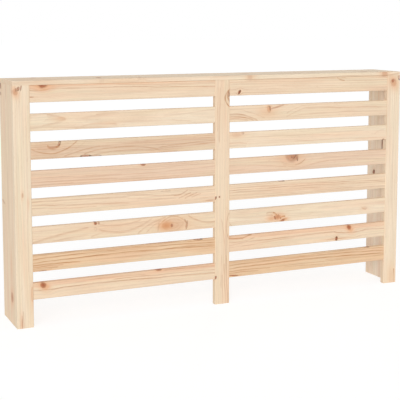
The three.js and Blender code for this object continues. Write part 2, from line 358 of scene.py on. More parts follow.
def dark_line_group():
    """One dark ring as it runs over the board's face: a bowed line, sharper on its upper side."""
    g, given, result = shader_group("pine dark line", {
        "vector": "Vector, Centre",
        "value": "Half Length, Slope, Bow, Thickness, Strength, Line",
    }, {"value": "Line"})
    run, rise, _ = (given["Vector"] - given["Centre"]).parts()
    along = run / given["Half Length"]
    bowed = (1.0 - along * along) * given["Bow"]
    height = (rise - run * given["Slope"] - bowed) / given["Thickness"]
    upper_slope, lower_slope = 1.7, -0.8
    line = (height * upper_slope).most(height * lower_slope).bell()
    faded = g.math("ABSOLUTE", along).falling(0.93, 1.08)
    g.fill(result, {"Line": given["Line"].most(line * faded * given["Strength"])})


def wobble_group():
    """A board's places, shaken across the grain by a millimetre or so, for lines drawn on it."""
    g, given, result = shader_group("pine wobble", {"vector": "Vector"}, {"vector": "Vector"})
    furthest = 7.0 * MM
    shake = (g.grain_noise(given["Vector"], along=14.0, across=20.0, detail=3.0) - 0.5) * furthest
    g.fill(result, {"Vector": given["Vector"] + g.new("ShaderNodeCombineXYZ", {"Y": shake})})


def grain_group():
    """Pine cut from a log: years' rings, heartwood, fibres and resin canals."""
    g, given, result = shader_group("pine grain", {
        "vector": "Vector",
        "value": "Radius, Line, Knot, Rim, Stain, Arris, End, "
                 "Ring Width, Late Strength, Heart Radius, Base Roughness",
        "colour": "Sapwood, Heart, Straw, Late, Knot Colour, Bark, Resin",
    }, {"colour": "Color", "value": "Roughness, Height"})
    place = given["Vector"]
    # Wet and dry years: the rings are wider here and narrower there.
    changes_a_year, widest_change = 0.43, 1.7
    years = given["Radius"] / given["Ring Width"]
    weather = {"W": years * changes_a_year, "Scale": 1.0}
    uneven = g.new("ShaderNodeTexNoise", weather, noise_dimensions="1D", normalize=True)
    years = years + uneven * widest_change
    # Each ring darkens slowly to its late wood, and ends sharply.
    darkening = 2.2
    season = g.math("FRACT", years)
    summer = g.math("POWER", season.ramp(0.15, 0.9), darkening)
    winter = season.falling(0.93, 1.0)
    vigour = g.new("ShaderNodeTexWhiteNoise", {"W": g.math("FLOOR", years)}, "Value", noise_dimensions="1D")
    strength = vigour.ramp(0.1, 1.0, start=0.25, end=1.0)
    patchy = g.grain_noise(place, along=5.0, across=45.0).ramp(0.3, 0.7, start=0.45, end=1.25)
    ring = summer * winter * (strength * patchy)
    # Thin false rings between the years.
    false_rings, false_darkening, false_strength = 3.0, 3.0, 0.3
    minor = g.math("POWER", g.math("FRACT", years * false_rings), false_darkening)
    minor = minor * (patchy * false_strength)
    late = g.math("MULTIPLY", ring.most(minor), given["Late Strength"], clamp=True)
    worn = g.grain_noise(place, along=14.0, across=420.0, detail=3.0).ramp(0.32, 0.68, start=0.45, end=1.3)
    late = late.most(given["Line"] * worn)

    # Heartwood, and pink and yellow drifts in the sapwood.
    rosy_share, yellow_share, canal_share = 0.42, 0.45, 0.3
    elsewhere = (3.1, 1.7, 0.9)
    heart = (given["Heart Radius"] - given["Radius"]).ramp(-4.0 * MM, 4.0 * MM)
    rosy = g.grain_noise(place, along=2.4, across=24.0).ramp(0.42, 0.72)
    yellow = g.grain_noise(place + elsewhere, along=3.1, across=30.0).ramp(0.45, 0.7)
    wood = g.mix(heart, given["Sapwood"], given["Heart"])
    wood = g.mix(rosy * rosy_share, wood, given["Heart"])
    wood = g.mix(yellow * yellow_share, wood, given["Straw"])
    wood = g.mix(late, wood, given["Late"])
    # Broad streaks, fine fibres and resin canals.
    streaks = g.grain_noise(place, along=5.0, across=230.0, detail=3.0).ramp(0.3, 0.7, start=0.94, end=1.04)
    fibres = g.grain_noise(place, along=34.0, across=1900.0).ramp(0.25, 0.75, start=0.965, end=1.03)
    canals = g.grain_noise(place, along=60.0, across=1300.0, detail=0.0).ramp(0.74, 0.8)
    wood = g.mix(canals * canal_share, wood.scaled(streaks * fibres), given["Late"])
    # Orange resin stain round knots; the broad stain with no knot on the right front stave is painted
    # shade.
    wood = g.mix(given["Stain"], wood, given["Resin"])
    wood = g.mix(given["Knot"], wood, given["Knot Colour"])
    wood = g.mix(given["Rim"], wood, given["Bark"])
    # End grain drinks light, and sanded arrises are a little paler.
    end_share, arris_share = 0.1, 0.16
    wood = g.mix(given["End"] * end_share, wood, given["Late"])
    wood = g.mix(given["Arris"] * arris_share, wood, given["Straw"])

    # Late wood and knots shine more and stand up. End grain is dull, rims and canals are hollow.
    raised = fibres - 1.0
    gloss = late * 0.1 + given["Knot"] * 0.16
    dull = given["End"] * 0.15 + raised * 0.8
    ridge = late + raised * 2.5 + given["Knot"] * 0.8
    hollow = given["Rim"] * 1.6 + canals * 0.6
    g.fill(result, {
        "Color": wood,
        "Roughness": given["Base Roughness"] - gloss + dull,
        "Height": ridge - hollow,
    })


def brushed_group():
    """Fine turning marks and dull spots of zinc plating."""
    g, given, result = shader_group(
        "zinc plating", {"vector": "Vector", "colour": "Bright, Dull"},
        {"colour": "Color", "value": "Roughness, Height"})
    spots_per_metre, marks_per_metre = 900.0, 5200.0
    spots = g.noise(given["Vector"].scaled(spots_per_metre), detail=3.0)
    marks = g.noise(given["Vector"].scaled(marks_per_metre))
    g.fill(result, {
        "Color": g.mix(spots.ramp(0.4, 0.7), given["Bright"], given["Dull"]),
        "Roughness": marks.ramp(0.3, 0.7, start=0.24, end=0.46),
        "Height": marks,
    })


# ---------------------------------------------------------------- how each board was cut

# tone    which sapwood colour of PineFinish the board has
# pith    the log's pith, in millimetres across the board and behind its middle
# lean    degrees that the pith runs off, towards the board's thickness and across it
# ring    width of a year's ring, in millimetres
# late    strength of the usual dark lines
# heart   radius of the heartwood, in millimetres
# wave    how far the rings wander, in millimetres
# slide   metres that the pattern is moved along the log, so that no two boards are alike
Cut = namedtuple("Cut", "tone pith lean ring late heart wave slide")

# start, end         where a dark line begins and ends along the board, in the row's frame, in millimetres
# rise, top, fall    its height across the board at its start, middle and end
# thick              its thickness
# strength           how dark it is
Line = namedtuple("Line", "start rise end fall top thick strength")

# along, across   a knot's middle in the row's frame, in millimetres: along the board and across it
# long, high      its half length and half height
# lean            degrees that it is turned
# tone, rim       how dark its wood and its rim are
# stain           strength of the orange stain round it
# push            how far it pushes the rings outwards, in millimetres
Knot = namedtuple("Knot", "along across long high lean tone rim stain push")

# For each board the values of its Cut, then those of its Lines, then those of its Knots.
BOARDS = {
    "top_board": (("cream", (12, 60), (0.5, 0.4), 6.0, 0.4, 20, 4, 0.4), (), (
        (-456, -93, 9, 5, 0, 0.1, 0.04, 0.2, 2), (-404, -96, 60, 6, 0, 0.0, 0.0, 0.24, 0),
        (-655, -75, 50, 34, 0, 0.04, 0.0, 0.2, 0), (-441, -16, 6, 26, 6, 0.75, 0.5, 0.3, 3),
        (-306, -60, 4, 17, 6, 0.8, 0.5, 0.3, 3), (-655, 58, 10, 14, 0, 0.6, 0.3, 0.2, 3),
        (-10, -95, 24, 5, 0, 0.0, 0.0, 0.12, 0), (110, -93, 11, 5, 0, 0.2, 0.0, 0.4, 3),
        (140, 4, 15, 14, 0, 0.35, 0.05, 0.35, 5), (640, -30, 14, 11, 10, 0.6, 0.2, 0.4, 7),
        (694, -93, 13, 7, 0, 0.3, 0.06, 0.55, 3),
    )),
    "post_left": (("cream", (-70, -30), (0.3, 0.2), 8.0, 0.2, 30, 4, 1.7), (
        (180, -722, 700, -719, -721, 1.6, 0.2), (0, -742, 60, -744, -743, 2.0, 0.35),
        (90, -709, 142, -709, -713, 2.4, 0.35),
    ), (
        (803, -756, 11, 9, 20, 0.34, 0.0, 0.65, 5), (811, -754, 6, 2, 12, 0.7, 0.5, 0.0, 0),
        (814, -746, 7, 5, -20, 0.7, 0.5, 0.2, 0), (818, -736, 11, 2, -8, 0.9, 0.5, 0.0, 0),
        (812, -747, 5, 3, 30, 0.6, 0.5, 0.0, 0), (457, -738, 8, 3, 0, 0.35, 0.1, 0.4, 2),
        (429, -719, 14, 3, 0, 0.0, 0.0, 0.3, 1), (22, -748, 26, 1.5, 0, 0.75, 0.0, 0.2, 1),
        (16, -750, 20, 4, 0, 0.0, 0.0, 0.4, 1), (112, -709, 24, 5, 0, 0.0, 0.0, 0.5, 0),
    )),
    "post_centre": (("honey", (64, -26), (0.4, -0.3), 7.0, 0.22, 49, 3, 2.9), (
        (728, 28, 790, 28, 12, 3.0, 1.0), (750, 27, 790, 28, 21, 2.6, 0.9),
        (236, 30, 340, 30, 17, 2.6, 0.45), (180, 15, 320, -4, 8, 2.4, 0.3), (0, 23, 184, 15, 19, 2.6, 0.5),
        (0, 13, 150, 8, 11, 2.4, 0.4), (0, 3, 110, 0, 2, 2.4, 0.3), (60, -4, 184, -2, -3, 2.4, 0.3),
        (600, -12, 800, -9, -11, 2.4, 0.35), (640, -19, 800, -16, -18, 2.4, 0.3),
    ), (
        (768, 30, 24, 7, 0, 0.1, 0.4, 0.3, 6), (774, 25, 10, 3, 0, 0.7, 0.7, 0.2, 0),
        (397, -27, 6, 3, -20, 1.0, 0.9, 0.2, 2), (400, -12, 3, 3, 0, 1.0, 0.7, 0.2, 1),
        (101, -27, 6, 4, -20, 1.0, 0.8, 0.2, 2),
    )),
    "post_right": (("cream", (60, -34), (-0.3, 0.3), 6.5, 0.26, 20, 2, 4.1), (
        (300, 738, 760, 742, 740, 1.8, 0.2), (-20, 757, 56, 756, 757, 2.4, 0.75),
    ), (
        (799, 735, 17, 14, 20, 0.3, 0.0, 0.7, 6), (804, 731, 6, 5, 0, 0.9, 0.5, 0.3, 0),
        (807, 738, 7, 2, 50, 0.6, 0.2, 0.2, 0), (818, 760, 11, 5, 10, 0.4, 0.9, 0.3, 0),
        (26, 742, 26, 12, 0, 0.0, 0.0, 0.35, 1),
    )),
    "top_rail_left": (("honey", (66, 20), (0.1, -0.5), 5.0, 0.26, 51, 2, 5.3), (
        (-712, 810, -636, 812, 807, 1.6, 0.5), (-640, 812, -280, 809, 812, 1.6, 0.6),
        (-284, 809, -20, 803, 806, 1.8, 0.6), (-402, 821, -20, 820, 817, 1.8, 0.4),
        (-240, 813, -20, 815, 814, 1.4, 0.3),
    ), (
        (-662, 831, 17, 17, 0, 1.0, 0.15, 0.8, 2), (-664, 824, 7, 9, 0, 1.0, 0.15, 0.0, 0),
        (-706, 785, 14, 2, 0, 0.5, 0.1, 0.25, 1),
    )),
    "top_rail_right": (("honey", (56, 34), (0.3, 0.3), 6.0, 0.54, 40, 3, 6.6), (
        (99, 820, 474, 821, 824, 2.0, 0.35), (39, 800, 624, 791, 797, 1.4, 0.25),
        (30, 808, 420, 806, 810, 1.4, 0.25), (480, 824, 514, 812, 815, 2.6, 0.6),
        (500, 822, 520, 818, 823, 1.8, 0.35), (500, 790, 712, 786, 789, 1.6, 0.2),
    ), (
        (68, 779, 4, 8, 32, 1.0, 1.0, 0.4, 2), (69, 780, 3, 6, 32, 0.8, 1.0, 0.0, 0),
        (68, 779, 2, 6, 32, 0.8, 1.0, 0.0, 0), (691, 827, 14, 6, 0, 0.3, 0.1, 0.3, 1),
    )),
    "slat_left_1": (("cream", (4, 34), (1.6, 0.2), 9.0, 0.3, 10, 4, 7.75), (
        (-650, 725, -585, 709, 720, 5.0, 0.34), (-706, 682, -585, 709, 692, 4.0, 0.28),
        (-650, 690, -585, 708, 697, 4.5, 0.26), (-552, 675, -402, 682, 688, 4.0, 0.3),
        (-477, 720, -395, 722, 723, 5.0, 0.25), (-230, 704, -24, 722, 712, 2.4, 0.25),
        (-360, 690, -120, 684, 690, 3.4, 0.2),
    ), (
        (-603, 709, 15, 5, 0, 0.0, 0.0, 0.38, 0), (-560, 706, 30, 12, 0, 0.0, 0.0, 0.12, 0),
        (-432, 689, 24, 5, 0, 0.0, 0.0, 0.2, 0),
    )),
    "slat_left_2": (("drab", (-60, 40), (0.4, 0.9), 6.0, 0.5, 20, 6, 8.8), (
        (-650, 619, -605, 623, 612, 5.6, 0.85), (-706, 613, -545, 633, 594, 2.8, 0.7),
        (-706, 621, -575, 636, 606, 9.0, 0.16), (-706, 600, -516, 629, 586, 2.2, 0.25),
        (-592, 582, -462, 610, 600, 2.6, 0.55), (-466, 610, -24, 620, 615, 2.2, 0.4),
        (-522, 586, -400, 602, 599, 2.6, 0.55), (-404, 602, -247, 590, 601, 2.4, 0.5),
        (-247, 595, -24, 610, 604, 2.2, 0.55), (-487, 581, -262, 587, 591, 2.4, 0.45),
        (-264, 588, -24, 601, 596, 2.2, 0.5), (-706, 590, -592, 588, 587, 2.4, 0.3),
        (-300, 620, -24, 627, 625, 1.8, 0.35), (-250, 583, -24, 587, 589, 2.0, 0.35),
    ), (
        (-630, 614, 19, 5, -4, 0.42, 0.0, 0.2, 0), (-608, 626, 4, 10, 22, 0.6, 0.8, 0.0, 0),
        (-655, 619, 44, 13, 0, 0.15, 0.0, 0.2, 0), (-516, 578, 19, 4, 0, 0.7, 0.9, 0.0, 0),
        (-478, 577, 18, 3, 0, 0.4, 0.6, 0.0, 0), (-207, 575, 36, 5, 0, 0.2, 0.2, 0.3, 0),
    )),
    "slat_left_3": (("tan", (-58, 34), (0.3, 0.3), 6.5, 0.55, 34, 3, 9.9), (
        (-712, 512, -380, 506, 511, 2.2, 0.4), (-384, 506, -20, 516, 508, 2.0, 0.35),
        (-712, 498, -400, 492, 497, 2.2, 0.4), (-404, 492, -20, 494, 490, 2.0, 0.3),
        (-712, 486, -560, 489, 489, 2.4, 0.35), (-420, 524, -180, 522, 519, 1.8, 0.3),
    ), (
        (-306, 536, 8, 4, 0, 0.9, 0.7, 0.5, 0), (-557, 540, 11, 2, 0, 0.5, 0.8, 0.0, 0),
    )),
    "slat_left_4": (("honey", (50, 34), (0.4, -0.3), 6.0, 0.28, 24, 5, 11.3), (
        (-712, 432, -362, 425, 430, 2.4, 0.45), (-712, 421, -362, 405, 412, 2.4, 0.45),
        (-712, 411, -480, 401, 404, 2.2, 0.35), (-366, 432, -187, 419, 426, 2.4, 0.42),
        (-192, 419, -136, 436, 421, 2.6, 0.6), (-366, 420, -180, 408, 413, 2.2, 0.35),
        (-172, 407, -124, 424, 416, 2.4, 0.55), (-148, 406, -100, 422, 415, 2.4, 0.6),
        (-122, 407, -84, 418, 414, 2.2, 0.45), (-132, 434, -24, 430, 430, 2.2, 0.3),
        (-90, 402, -24, 406, 403, 2.2, 0.3),
    ), (
        (-50, 390, 18, 3, 0, 0.3, 0.08, 0.3, 0), (-221, 436, 18, 2, 0, 0.2, 0.35, 0.0, 0),
    )),
    "slat_left_5": (("honey", (60, 36), (0.4, 0.2), 8.0, 0.24, 24, 5, 12.7), (
        (-712, 291, -510, 330, 313, 4.8, 0.36), (-640, 290, -510, 305, 300, 4.0, 0.2),
        (-474, 337, -318, 340, 328, 3.2, 0.36), (-470, 318, -276, 341, 305, 4.2, 0.38),
        (-500, 296, -446, 310, 303, 3.0, 0.22), (-328, 294, -222, 341, 326, 4.0, 0.4),
        (-296, 294, -240, 332, 318, 3.4, 0.3), (-249, 314, -142, 318, 343, 3.2, 0.5),
        (-235, 316, -155, 320, 334, 2.6, 0.32), (-216, 309, -172, 311, 321, 2.2, 0.22),
        (-216, 309, -172, 311, 299, 2.2, 0.22), (-234, 309, -156, 312, 290, 2.4, 0.22),
        (-134, 341, -24, 311, 315, 3.8, 0.45), (-110, 300, -24, 297, 294, 3.0, 0.2),
    ), (
        (-484, 341, 5, 5, 0, 1.0, 0.8, 0.6, 2), (-484, 321, 5, 6, 0, 0.0, 0.2, 0.2, 0),
        (-472, 341, 4, 4, 0, 0.6, 0.3, 0.2, 0), (-192, 310, 42, 24, 0, 0.13, 0.0, 0.42, 6),
        (-220, 311, 18, 14, 0, 0.22, 0.0, 1.0, 0), (-250, 310, 3, 17, 8, 0.2, 0.1, 0.2, 0),
        (-199, 310, 4, 6, 0, 0.8, 0.5, 0.4, 0), (-141, 307, 4, 15, 8, 0.5, 0.4, 0.4, 0),
        (-146, 322, 3, 7, -24, 0.4, 0.3, 0.0, 0), (-400, 322, 90, 20, 0, 0.0, 0.0, 0.14, 0),
    )),
    "slat_left_6": (("amber", (84, 20), (0.1, -0.15), 5.0, 0.5, 0, 3, 13.1), (
        (-712, 235, -20, 233, 242, 2.2, 0.7), (-712, 222, -20, 220, 229, 2.4, 0.82),
        (-712, 247, -300, 246, 247, 1.9, 0.6), (-300, 249, -20, 242, 247, 1.9, 0.6),
        (-712, 215, -540, 213, 215, 2.0, 0.85), (-712, 207, -600, 208, 208, 1.8, 0.8),
        (-712, 202, -620, 202, 203, 1.6, 0.7), (-712, 196, -640, 197, 197, 1.6, 0.6),
        (-200, 228, -20, 226, 229, 1.8, 0.6), (-420, 212, -180, 206, 210, 2.2, 0.3),
    ), (
        (-672, 191, 13, 3, 0, 0.9, 0.9, 0.3, 0), (-93, 250, 16, 3, 0, 0.7, 0.95, 0.3, 0),
    )),
    "slat_left_7": (("honey", (66, 16), (0.1, -0.3), 5.0, 0.24, 57, 2, 14.6), (
        (-706, 129, -600, 129, 126, 2.0, 0.6), (-604, 129, -362, 128, 130, 2.0, 0.6),
        (-366, 128, -20, 119, 125, 2.1, 0.7), (-420, 137, -20, 132, 136, 1.9, 0.5),
        (-560, 143, -300, 142, 145, 1.9, 0.35), (-230, 150, -20, 146, 149, 2.0, 0.6),
    ), (
        (-672, 143, 12, 10, 48, 0.85, 0.04, 0.85, 2), (-673, 144, 7, 5, 48, 1.0, 0.3, 0.0, 0),
        (-660, 138, 8, 6, 30, 0.0, 0.0, 0.7, 0), (-249, 153, 11, 4, 0, 0.9, 0.4, 0.7, 1),
    )),
    "slat_right_1": (("honey", (60, 30), (0.3, 0.2), 6.0, 0.3, 20, 3, 15.8), (
        (24, 700, 142, 675, 696, 3.2, 0.62), (24, 691, 126, 677, 689, 3.4, 0.72),
        (24, 683, 104, 676, 683, 3.4, 0.5), (86, 712, 172, 683, 699, 2.2, 0.3),
        (24, 721, 90, 712, 718, 2.0, 0.22), (262, 681, 345, 713, 700, 2.4, 0.28),
        (342, 713, 712, 705, 710, 3.8, 0.36), (264, 696, 345, 723, 714, 2.0, 0.3),
        (300, 686, 712, 687, 693, 2.0, 0.3), (344, 723, 600, 721, 724, 2.0, 0.25),
    ), (
        (190, 713, 7, 13, -6, 0.2, 0.2, 0.7, 2), (194, 716, 3, 8, -6, 0.6, 0.8, 0.2, 0),
        (224, 720, 30, 3, -14, 0.45, 0.2, 0.3, 0), (184, 702, 22, 13, 0, 0.0, 0.0, 0.4, 0),
    )),
    "slat_right_2": (("cream", (-56, 34), (0.4, 0.3), 6.0, 0.26, 12, 4, 16.2), (
        (24, 584, 96, 582, 584, 2.2, 0.45), (24, 594, 100, 590, 594, 2.4, 0.35),
        (110, 615, 500, 606, 612, 2.2, 0.22), (300, 589, 712, 584, 589, 2.6, 0.3),
        (420, 617, 712, 610, 615, 2.0, 0.22), (652, 600, 696, 617, 612, 2.0, 0.25),
    ), (
        (58, 624, 22, 10, 0, 0.12, 0.0, 0.4, 3), (83, 630, 5, 5, 0, 0.3, 0.5, 0.0, 0),
        (694, 575, 5, 4, 0, 0.9, 0.9, 0.2, 0),
    )),
    "slat_right_3": (("tan", (56, 36), (0.3, -0.3), 6.5, 0.28, 24, 4, 17.9), (
        (300, 500, 346, 520, 504, 2.4, 0.7), (262, 508, 304, 500, 501, 2.0, 0.35),
        (240, 520, 268, 504, 508, 2.2, 0.35), (250, 503, 330, 489, 493, 2.2, 0.3),
        (330, 489, 450, 509, 501, 2.2, 0.35), (24, 514, 264, 494, 508, 2.4, 0.3),
        (450, 509, 712, 498, 507, 2.2, 0.3), (24, 494, 200, 488, 492, 2.2, 0.3),
        (420, 522, 712, 516, 521, 2.2, 0.25),
    ), (
        (289, 538, 27, 26, 0, 0.52, 0.22, 0.5, 4), (294, 534, 9, 10, 0, 0.7, 0.75, 0.4, 0),
        (309, 527, 4, 13, -16, 0.6, 0.6, 0.2, 0),
    )),
    "slat_right_4": (("honey", (-72, 20), (0.1, 0.15), 7.0, 0.45, 30, 2, 18.4), (
        (24, 427, 712, 415, 425, 1.7, 0.5), (24, 420, 712, 409, 418, 1.6, 0.6),
        (24, 412, 420, 407, 411, 1.6, 0.45), (24, 401, 300, 397, 400, 1.6, 0.35),
        (380, 400, 712, 392, 397, 1.6, 0.4), (24, 436, 330, 434, 436, 1.5, 0.3),
    ), (
        (247, 441, 12, 2, 0, 0.6, 0.9, 0.0, 0),
    )),
    "slat_right_5": (("cream", (14, 60), (0.8, 0.3), 9.0, 0.24, 12, 3, 19.7), (
        (264, 326, 330, 327, 328, 2.0, 0.3), (24, 300, 180, 296, 300, 5.0, 0.2),
        (28, 306, 40, 290, 294, 2.4, 0.5), (280, 312, 712, 304, 310, 2.6, 0.15),
        (400, 330, 712, 326, 329, 2.6, 0.15), (600, 316, 622, 308, 309, 2.4, 0.35),
        (182, 326, 214, 325, 328, 3.0, 0.6), (210, 326, 228, 314, 322, 4.0, 1.0),
        (182, 319, 209, 315, 318, 3.4, 0.5), (243, 303, 262, 307, 307, 3.4, 1.0),
        (238, 291, 260, 298, 293, 2.8, 0.8),
    ), (
        (229, 306, 15, 10, 0, 0.4, 0.0, 0.9, 4), (206, 303, 14, 8, 0, 0.08, 0.0, 0.7, 0),
        (218, 304, 3, 7, -20, 0.85, 0.6, 0.3, 0), (232, 311, 3, 6, 10, 0.6, 0.2, 0.0, 0),
        (242, 301, 2, 5, -8, 0.7, 0.2, 0.2, 0), (252, 292, 7, 4, -15, 0.8, 0.75, 0.6, 1),
        (259, 296, 10, 5, -10, 0.2, 0.0, 0.8, 0), (614, 310, 10, 6, 0, 0.1, 0.1, 0.3, 2),
    )),
    "slat_right_6": (("honey", (64, 18), (0.1, -0.1), 5.5, 0.24, 56, 3, 20.5), (
        (24, 244, 86, 239, 240, 3.2, 1.0), (84, 239, 124, 252, 246, 2.8, 1.0),
        (24, 230, 134, 238, 226, 2.2, 0.45), (24, 217, 110, 227, 219, 2.0, 0.35),
        (108, 226, 476, 230, 226, 2.0, 0.6), (474, 230, 622, 226, 220, 2.0, 0.65),
        (618, 226, 712, 222, 225, 2.0, 0.55), (80, 208, 300, 221, 217, 2.2, 0.35),
        (150, 238, 470, 238, 240, 2.0, 0.25),
    ), (
        (544, 241, 12, 9, 52, 0.9, 0.04, 0.85, 2), (543, 242, 7, 5, 52, 1.0, 0.25, 0.0, 0),
        (553, 234, 8, 5, 30, 0.0, 0.0, 0.6, 0), (488, 201, 5, 8, 10, 1.0, 1.0, 0.6, 1),
        (488, 200, 3, 6, 10, 1.0, 1.0, 0.0, 0), (488, 200, 40, 2, 0, 0.35, 0.0, 0.5, 0),
    )),
    "slat_right_7": (("amber", (84, 20), (0.1, -0.15), 5.0, 0.5, 0, 3, 21.8), (
        (24, 140, 712, 134, 145, 2.2, 0.72), (24, 128, 712, 123, 133, 2.4, 0.82),
        (24, 118, 200, 117, 119, 2.0, 0.6), (24, 110, 150, 110, 112, 2.0, 0.6),
        (374, 150, 712, 145, 150, 1.9, 0.6), (24, 150, 340, 149, 151, 1.9, 0.45),
        (440, 124, 712, 114, 120, 1.8, 0.45), (260, 112, 460, 106, 110, 1.9, 0.35),
    ), (
        (48, 101, 18, 2, 6, 0.9, 0.7, 0.5, 0), (630, 154, 12, 2, 0, 0.7, 0.9, 0.2, 0),
    )),
    "side_left_front_stave": (("honey", (50, 30), (0.4, 0.3), 5.5, 0.36, 40, 3, 22.3), (), (
        (95, -30, 19, 17, 20, 0.55, 0.04, 0.5, 3), (205, -32, 30, 9, 0, 0.0, 0.0, 0.35, 0),
        (110, 0, 24, 8, 0, 0.0, 0.0, 0.3, 0),
    )),
    "side_left_rear_stave": (("honey", (-40, 44), (0.7, 0.3), 6.0, 0.36, 30, 4, 23.6), (), (
        (815, 76, 10, 8, 0, 0.9, 0.9, 0.2, 2), (788, 76, 6, 6, 0, 0.7, 0.8, 0.2, 1),
        (412, 70, 4, 22, 10, 0.25, 0.3, 0.2, 1),
    )),
    # Painted light: both right staves take the pale tone and faint latewood, so that the shaded inner face
    # of the panel reads lighter.
    "side_right_front_stave": (("pale", (-40, 34), (0.6, 0.4), 6.0, 0.08, 8, 4, 24.8), (), (
        # Painted shade: this first mark has no knot, only a broad orange stain that darkens the front stave
        # near the right post.
        (420, -40, 430, 60, 0, 0.0, 0.0, 0.14, 0), (546, -8, 20, 4, 0, 0.9, 1.0, 0.0, 1),
        (546, -8, 18, 2, 0, 0.9, 1.0, 0.0, 0), (230, -40, 14, 11, 0, 0.8, 0.08, 0.7, 6),
        (231, -41, 6, 5, 0, 1.0, 0.1, 0.0, 0),
    )),
    "side_right_rear_stave": (("pale", (54, 20), (0.2, 0.2), 5.5, 0.06, 8, 3, 25.1), (), (
        (425, 47, 10, 7, 15, 0.9, 1.0, 0.3, 4), (425, 47, 7, 4, 15, 0.8, 1.0, 0.0, 0),
    )),
    "corner_cleat_left": (("honey", (40, 20), (0.3, 0.2), 4.5, 0.4, 20, 2, 26.4), (), ()),
    "corner_cleat_right": (("cream", (-36, 24), (0.3, 0.4), 4.5, 0.4, 20, 2, 27.7), (), ()),
    "side_cleat_left": (("honey", (30, 30), (0.3, 0.2), 4.5, 0.4, 20, 2, 28.9), (), ()),
    "side_cleat_right": (("cream", (-40, 20), (0.3, 0.2), 4.5, 0.4, 20, 2, 30.3), (), ()),
    "rail_cleat_left": (("honey", (34, 24), (0.3, 0.2), 4.5, 0.4, 20, 2, 31.5), (), ()),
    "rail_cleat_right": (("cream", (-30, 30), (0.3, 0.2), 4.5, 0.4, 20, 2, 32.8), (), ()),
}

X_AXIS = Vector((1.0, 0.0, 0.0))
Y_AXIS = Vector((0.0, 1.0, 0.0))
Z_AXIS = Vector((0.0, 0.0, 1.0))

# The directions along a board and across its broad face.
LEVEL = (X_AXIS, Z_AXIS)
FLAT = (X_AXIS, Y_AXIS)
UPRIGHT = (Z_AXIS, X_AXIS)
SIDEWAYS = (Z_AXIS, Y_AXIS)
INWARDS = (Y_AXIS, Z_AXIS)

PINE_BUMP = 0.55            # strength of the relief, which PineFinish gives in metres
PINE_SPECULAR = 0.2
ZINC_BRIGHT = srgb(214, 216, 219)
ZINC_DULL = srgb(176, 178, 182)
ZINC_BUMP = 0.25
ZINC_RELIEF = 0.02 * MM


def colour(value):
    """A colour with the alpha that sockets ask for."""
    return (*value, 1.0)


def principled_material(name):
    """A new material, as itself, its graph, its Principled shader and the object's own places."""
    material = bpy.data.materials.new(name)
    material.use_nodes = True
    g = Graph(material.node_tree)
    source = g.new("ShaderNodeTexCoord", None, "Object")
    return material, g, g.tree.nodes["Principled BSDF"], source


def show_surface(g, shader, surface, strength, distance):
    """Leads a shader group's colour, roughness and height into the Principled shader."""
    bump = {"Strength": strength, "Distance": distance, "Height": surface["Height"]}
    g.fill(shader, {
        "Base Color": surface["Color"],
        "Roughness": surface["Roughness"],
        "Normal": g.new("ShaderNodeBump", bump, "Normal"),
    })


def pine_material(piece_name, low, high, axes):
    """Pine for one board: its own cut of the log, its own knots and dark rings."""
    finish = bpy.context.scene.pine_finish
    cut, lines, knots = BOARDS[piece_name]
    cut = Cut(*cut)
    along, across = axes
    facing = along.cross(across)
    turn = Matrix((along, across, facing))
    centre = (low + high) / 2

    def on_face(run, rise):
        """A place on the board's broad face, from its millimetres in the row's frame."""
        place = turn @ (along * run * MM + across * rise * MM - centre)
        return place.x, place.y, 0.0

    material, g, shader, source = principled_material("pine_" + piece_name)
    board_place = g.mapping(source, turn, -(turn @ centre))
    marks = {"Grain": board_place, "Push": 0.0, "Knot": 0.0, "Rim": 0.0, "Stain": 0.0}
    for knot in [Knot(*values) for values in knots]:
        marks = g.group("pine knot", {
            **marks,
            "Vector": board_place,
            "Centre": on_face(knot.along, knot.across),
            "Half Size": (knot.long * MM, knot.high * MM, 1.0),
            "Lean": math.radians(knot.lean),
            "Tone": knot.tone,
            "Rim Tone": knot.rim,
            "Stain Tone": knot.stain,
            "Ring Push": knot.push * MM,
        })
    half = Vector([abs(axis.dot(high - low)) / 2 for axis in (along, across, facing)])
    edges = g.group("board edges", {"Vector": board_place, "Half Size": half})

    run_in, run_across = cut.lean
    log_turn = Euler((0.0, math.radians(run_in), math.radians(run_across)), "XYZ").to_matrix()
    pith = Vector((-cut.slide, cut.pith[0] * MM, -cut.pith[1] * MM))
    log_place = g.mapping(marks.pop("Grain"), log_turn, -pith)
    rings = {"Vector": log_place, "Push": marks.pop("Push"), "Wave": cut.wave * MM}
    rings = g.group("pine radius", rings)

    line = {"Line": 0.0}
    shaken = g.group("pine wobble", {"Vector": board_place}) if lines else {}
    for stroke in [Line(*values) for values in lines]:
        run = stroke.end - stroke.start
        level = (stroke.rise + stroke.fall) / 2
        line = g.group("pine dark line", {
            **line,
            **shaken,
            "Centre": on_face(stroke.start + run / 2, level),
            "Half Length": run / 2 * MM,
            "Slope": (stroke.fall - stroke.rise) / run,
            "Bow": (stroke.top - level) * MM,
            "Thickness": stroke.thick * MM,
            "Strength": stroke.strength,
        })

    grain = g.group("pine grain", {
        **marks,
        **edges,
        **rings,
        **line,
        "Vector": log_place,
        "Sapwood": colour(getattr(finish, cut.tone)),
        "Heart": colour(finish.heart),
        "Straw": colour(finish.straw),
        "Late": colour(finish.late),
        "Knot Colour": colour(finish.knot),
        "Bark": colour(finish.bark),
        "Resin": colour(finish.resin),
        "Ring Width": cut.ring * MM,
        "Late Strength": cut.late,
        "Heart Radius": cut.heart * MM,
        "Base Roughness": finish.roughness,
    })
    show_surface(g, shader, grain, PINE_BUMP, finish.relief)
    shader.inputs["Specular IOR Level"].default_value = PINE_SPECULAR
    return material


def zinc_material():
    material, g, shader, source = principled_material("zinc_screw")
    zinc = g.group("zinc plating", {
        "Vector": source,
        "Bright": colour(ZINC_BRIGHT),
        "Dull": colour(ZINC_DULL),
    })
    show_surface(g, shader, zinc, ZINC_BUMP, ZINC_RELIEF)
    shader.inputs["Metallic"].default_value = 1.0
    return material


# ---------------------------------------------------------------- meshes

